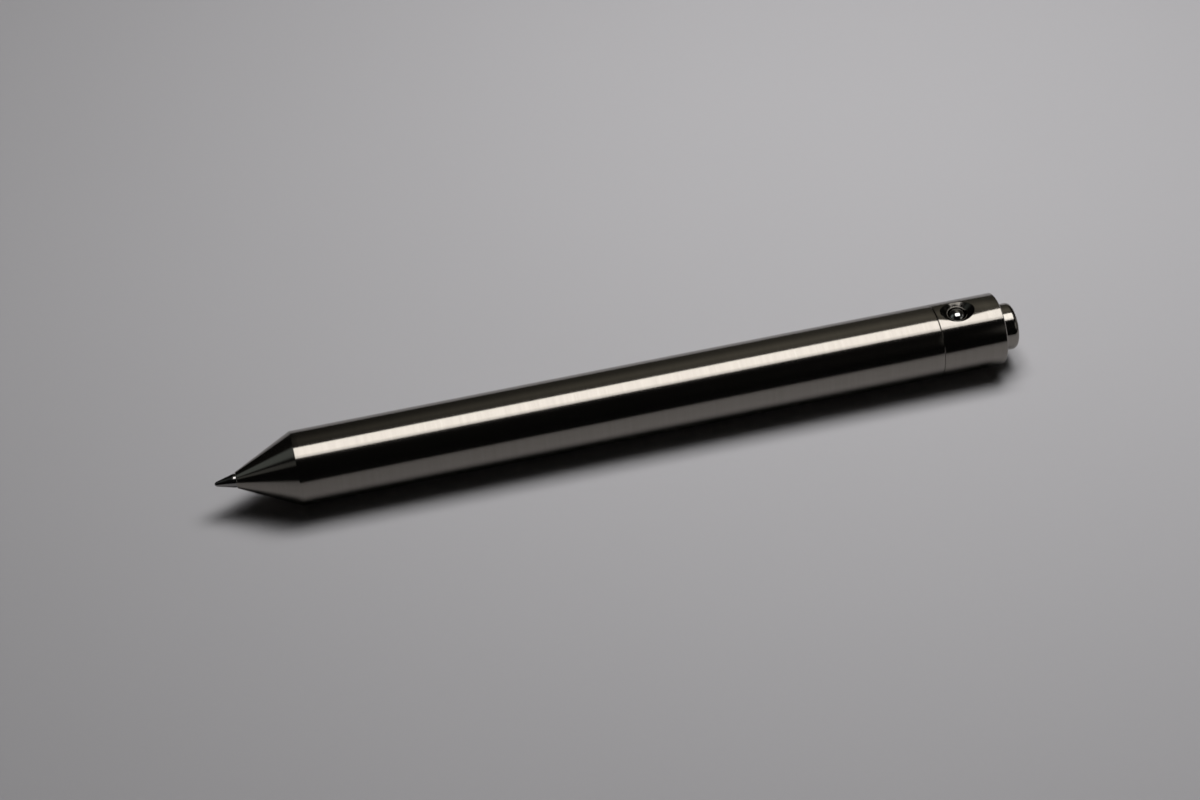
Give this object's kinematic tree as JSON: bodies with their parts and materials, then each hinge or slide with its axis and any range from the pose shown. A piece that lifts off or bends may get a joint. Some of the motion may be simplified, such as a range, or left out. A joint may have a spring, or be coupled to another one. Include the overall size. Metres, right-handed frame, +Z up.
{
  "type": "retractable pen",
  "caption": "Turned metal pen with a conical nose, a rear push plunger that puts the point out, and a ball in a finger recess that lets it back.",
  "frame": {"origin": "on the surface that the pen lies on, under the middle of its length", "axes": "+X along the pen toward the plunger, so the writing point is toward -X; +Z up through the lock ball"},
  "size_m": [0.1402, 0.0126, 0.0127],
  "materials": {
    "titanium_barrel": "fine lathe-turned satin titanium, hairlines around the axis",
    "titanium_cap": "fine lathe-turned satin titanium",
    "titanium_plunger": "lathe-turned titanium, a little more polished",
    "bearing_steel": "polished",
    "spring_wire": "drawn wire",
    "refill_plastic": "translucent",
    "holder_plastic": "moulded",
    "tip_steel": "turned stainless steel",
    "carbide": "polished",
    "ink": "gel",
    "grease": "clear grease",
    "tail_plastic": "moulded"
  },
  "bodies": {
    "barrel": {"barrel": "titanium_barrel", "end_cap": "titanium_cap", "return_spring": "spring_wire"},
    "plunger": {"plunger": "titanium_plunger", "ball_spring": "spring_wire"},
    "lock_ball": {"lock_ball": "bearing_steel"},
    "refill": {"refill_tube": "refill_plastic", "tip_holder": "holder_plastic", "refill_tip": "tip_steel", "ink": "ink", "ink_follower": "grease", "tail_plug": "tail_plastic"},
    "writing_ball": {"writing_ball": "carbide"}
  },
  "joints": [
    {"name": "plunger_slide", "type": "slide", "parent": "barrel", "child": "plunger", "axis": [1, 0, 0], "range_m": [0, 0.0046]},
    {"name": "ball_drop", "type": "slide", "parent": "plunger", "child": "lock_ball", "axis": [0, 0, -1], "range_m": [0, 0.00195], "deforming": ["ball_spring"]},
    {"name": "refill_slide", "type": "slide", "parent": "barrel", "child": "refill", "axis": [1, 0, 0], "range_m": [0, 0.0046], "deforming": ["return_spring"]},
    {"name": "writing_ball_roll", "type": "hinge", "parent": "refill", "child": "writing_ball", "pos_m": [-0.06976, 0, 0.00635], "axis": [0, 1, 0], "continuous": true}
  ],
  "couplings": [
    {"joint": "ball_drop", "follows": "plunger_slide", "ratio": 0.42391},
    {"joint": "refill_slide", "follows": "plunger_slide", "ratio": 1}
  ]
}
